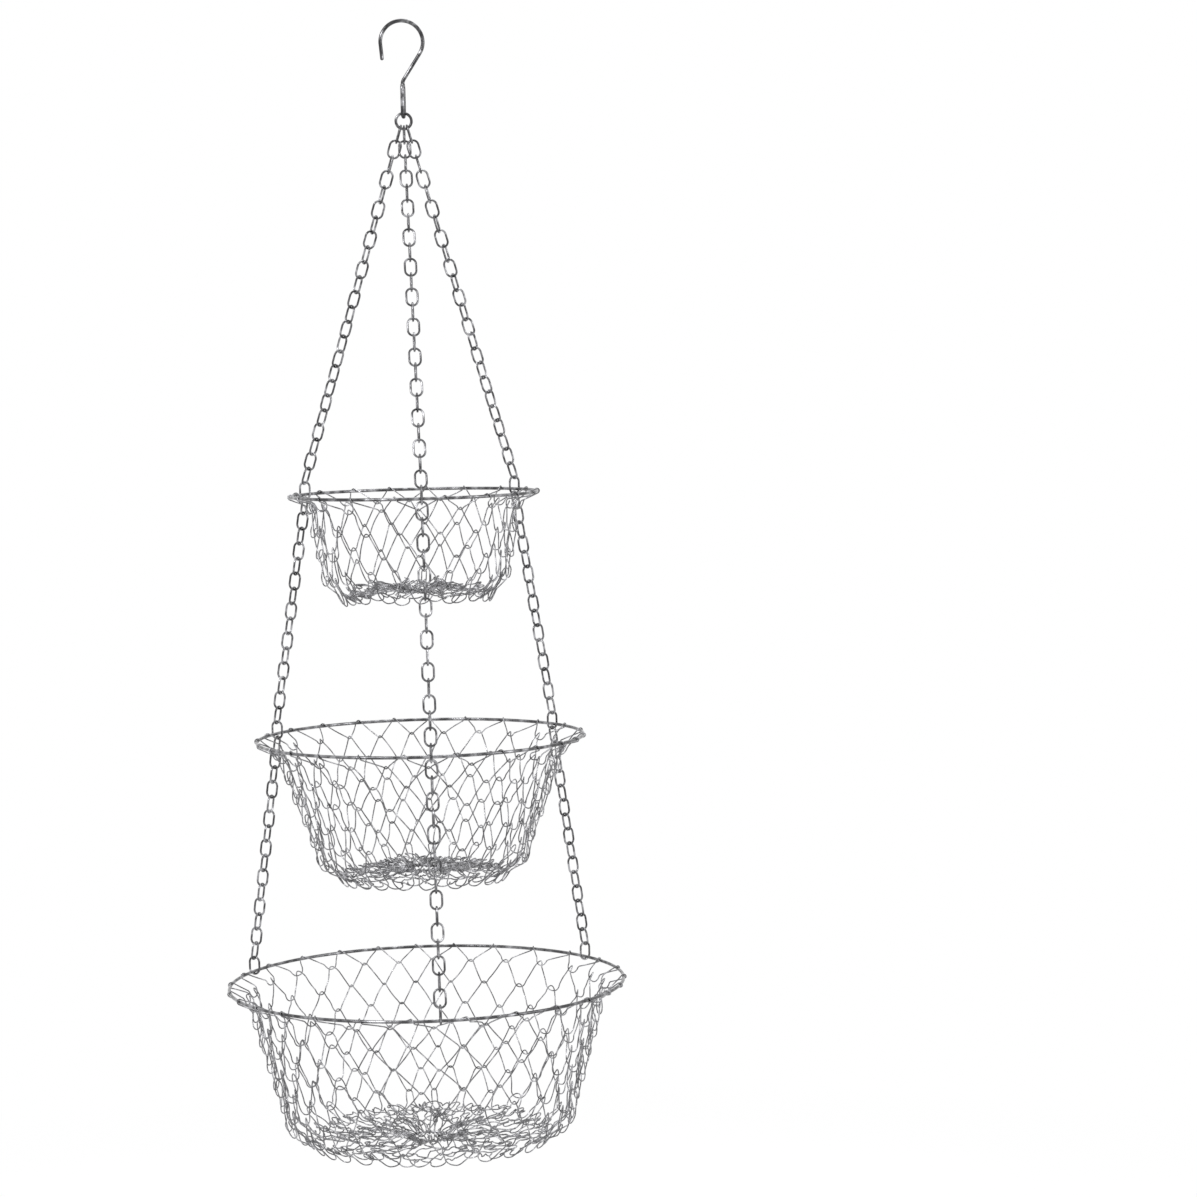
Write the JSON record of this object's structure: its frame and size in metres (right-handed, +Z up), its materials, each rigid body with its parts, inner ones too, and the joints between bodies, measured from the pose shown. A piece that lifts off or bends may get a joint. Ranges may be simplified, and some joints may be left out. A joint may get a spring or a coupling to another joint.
{
  "type": "hanging fruit basket",
  "caption": "Tiered hanging basket for fruit: round rims with hooked wire nets, carried on link chains from one open hook.",
  "frame": {"origin": "seat of the hook: the lowest inside point of the top of its bow", "axes": "+Z up along the hanging axis, -Y to the front, where one chain of each tier is; the bow of the hook lies in the XZ plane and opens towards -X"},
  "size_m": [0.2884, 0.2905, 0.8026],
  "materials": {
    "hook_wire": "bright chrome-plated steel wire",
    "chain": "chrome-plated steel chain",
    "rim_wire": "bright chrome-plated steel rod",
    "net_wire": "chrome-plated thin steel wire"
  },
  "bodies": {
    "hook": {"hook": "hook_wire"},
    "gather_ring": {"gather_ring": "hook_wire"},
    "top_tier": {"upper_chain_front": "chain", "upper_chain_right": "chain", "upper_chain_left": "chain", "top_rim_link_front": "chain", "top_rim_link_right": "chain", "top_rim_link_left": "chain", "top_rim": "rim_wire", "top_net_wall": "net_wire", "top_net_floor": "net_wire", "top_floor_ring": "net_wire"},
    "middle_chain_front": {"middle_chain_front": "chain"},
    "middle_chain_right": {"middle_chain_right": "chain"},
    "middle_chain_left": {"middle_chain_left": "chain"},
    "middle_tier": {"middle_rim_link_front": "chain", "middle_rim_link_right": "chain", "middle_rim_link_left": "chain", "middle_rim": "rim_wire", "middle_net_wall": "net_wire", "middle_net_floor": "net_wire", "middle_floor_ring": "net_wire"},
    "lower_chain_front": {"lower_chain_front": "chain"},
    "lower_chain_right": {"lower_chain_right": "chain"},
    "lower_chain_left": {"lower_chain_left": "chain"},
    "bottom_tier": {"bottom_rim_link_front": "chain", "bottom_rim_link_right": "chain", "bottom_rim_link_left": "chain", "bottom_rim": "rim_wire", "bottom_net_wall": "net_wire", "bottom_net_floor": "net_wire", "bottom_floor_ring": "net_wire"}
  },
  "joints": [
    {"name": "swing_sideways", "type": "hinge", "parent": "hook", "child": "gather_ring", "pos_m": [0, 0, -0.06583], "axis": [0, 1, 0], "range_deg": [-15, 15]},
    {"name": "swing_front_back", "type": "hinge", "parent": "gather_ring", "child": "top_tier", "pos_m": [0, 0, -0.07433], "axis": [1, 0, 0], "range_deg": [-15, 15]},
    {"name": "middle_sway_front", "type": "hinge", "parent": "top_tier", "child": "middle_chain_front", "pos_m": [0, -0.0876, -0.33533], "axis": [0, 1, 0], "range_deg": [-10, 10]},
    {"name": "middle_sway_right", "type": "hinge", "parent": "top_tier", "child": "middle_chain_right", "pos_m": [0.07586, 0.0438, -0.33533], "axis": [0, 1, 0], "range_deg": [-10, 10]},
    {"name": "middle_sway_left", "type": "hinge", "parent": "top_tier", "child": "middle_chain_left", "pos_m": [-0.07586, 0.0438, -0.33533], "axis": [0, 1, 0], "range_deg": [-10, 10]},
    {"name": "middle_tier_level", "type": "hinge", "parent": "middle_chain_front", "child": "middle_tier", "pos_m": [0, -0.11635, -0.49689], "axis": [0, 1, 0], "range_deg": [-7.57, 7.57]},
    {"name": "lower_sway_front", "type": "hinge", "parent": "middle_tier", "child": "lower_chain_front", "pos_m": [0, -0.11635, -0.50959], "axis": [0, 1, 0], "range_deg": [-10, 10]},
    {"name": "lower_sway_right", "type": "hinge", "parent": "middle_tier", "child": "lower_chain_right", "pos_m": [0.10076, 0.05817, -0.50959], "axis": [0, 1, 0], "range_deg": [-10, 10]},
    {"name": "lower_sway_left", "type": "hinge", "parent": "middle_tier", "child": "lower_chain_left", "pos_m": [-0.10076, 0.05817, -0.50959], "axis": [0, 1, 0], "range_deg": [-10, 10]},
    {"name": "bottom_tier_level", "type": "hinge", "parent": "lower_chain_front", "child": "bottom_tier", "pos_m": [0, -0.14135, -0.67178], "axis": [0, 1, 0], "range_deg": [-8.27, 8.27]}
  ],
  "couplings": [
    {"joint": "middle_sway_right", "follows": "middle_sway_front", "ratio": 1},
    {"joint": "middle_sway_left", "follows": "middle_sway_front", "ratio": 1},
    {"joint": "middle_tier_level", "follows": "middle_sway_front", "ratio": -0.75175},
    {"joint": "lower_sway_right", "follows": "lower_sway_front", "ratio": 1},
    {"joint": "lower_sway_left", "follows": "lower_sway_front", "ratio": 1},
    {"joint": "bottom_tier_level", "follows": "lower_sway_front", "ratio": -0.82225}
  ]
}
